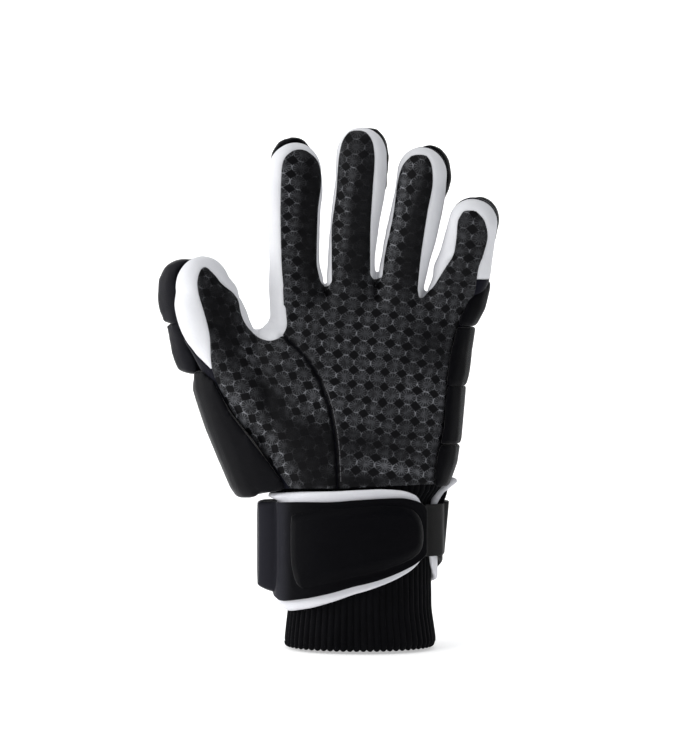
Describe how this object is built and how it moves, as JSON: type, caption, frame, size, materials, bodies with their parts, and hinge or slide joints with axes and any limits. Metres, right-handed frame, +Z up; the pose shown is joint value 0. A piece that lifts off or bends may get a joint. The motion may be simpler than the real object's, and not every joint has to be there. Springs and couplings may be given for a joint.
{
  "type": "field hockey glove",
  "caption": "Left-hand field hockey glove in its worn shape: leather palm, stretch sides, foam-padded back, ribbed cuff and padded wrist strap.",
  "frame": {"origin": "the middle of the wrist opening, level with the rim of the knit cuff", "axes": "+Z up along the hand to the fingertips, the palm faces -Y, and the thumb is on the -X side"},
  "size_m": [0.1752, 0.0747, 0.2704],
  "materials": {
    "leather": "black synthetic leather with a slight sheen, embossed with a lattice of ringed dots in dark grey",
    "side_cloth": "smooth matt white stretch cloth",
    "back_cloth": "matt black cloth",
    "foam_cloth": "matt black cloth drawn over foam",
    "knit": "matt black rib knit",
    "strap_lining": "smooth matt white cloth",
    "webbing": "black woven webbing with a faint sheen"
  },
  "bodies": {
    "root": {"palm_leather": "leather", "thumb_leather": "leather", "thumb_side_cloth": "side_cloth", "index_side_cloth": "side_cloth", "middle_side_cloth": "side_cloth", "ring_side_cloth": "side_cloth", "little_side_cloth": "side_cloth", "back_cloth": "back_cloth", "thumb_pad_1": "foam_cloth", "thumb_pad_2": "foam_cloth", "index_pad_1": "foam_cloth", "index_pad_2": "foam_cloth", "index_pad_3": "foam_cloth", "middle_pad_1": "foam_cloth", "middle_pad_2": "foam_cloth", "middle_pad_3": "foam_cloth", "ring_pad_1": "foam_cloth", "ring_pad_2": "foam_cloth", "ring_pad_3": "foam_cloth", "little_pad_1": "foam_cloth", "little_pad_2": "foam_cloth", "hand_block_1": "foam_cloth", "hand_block_2": "foam_cloth", "hand_block_3": "foam_cloth", "hand_block_4": "foam_cloth", "thumb_side_panel": "foam_cloth", "knit_cuff": "knit", "strap_lining": "strap_lining", "strap_cover": "foam_cloth", "strap_front_pad": "foam_cloth", "strap_side_pad": "foam_cloth", "strap_back_pad": "foam_cloth", "strap_webbing": "webbing"}
  },
  "joints": []
}
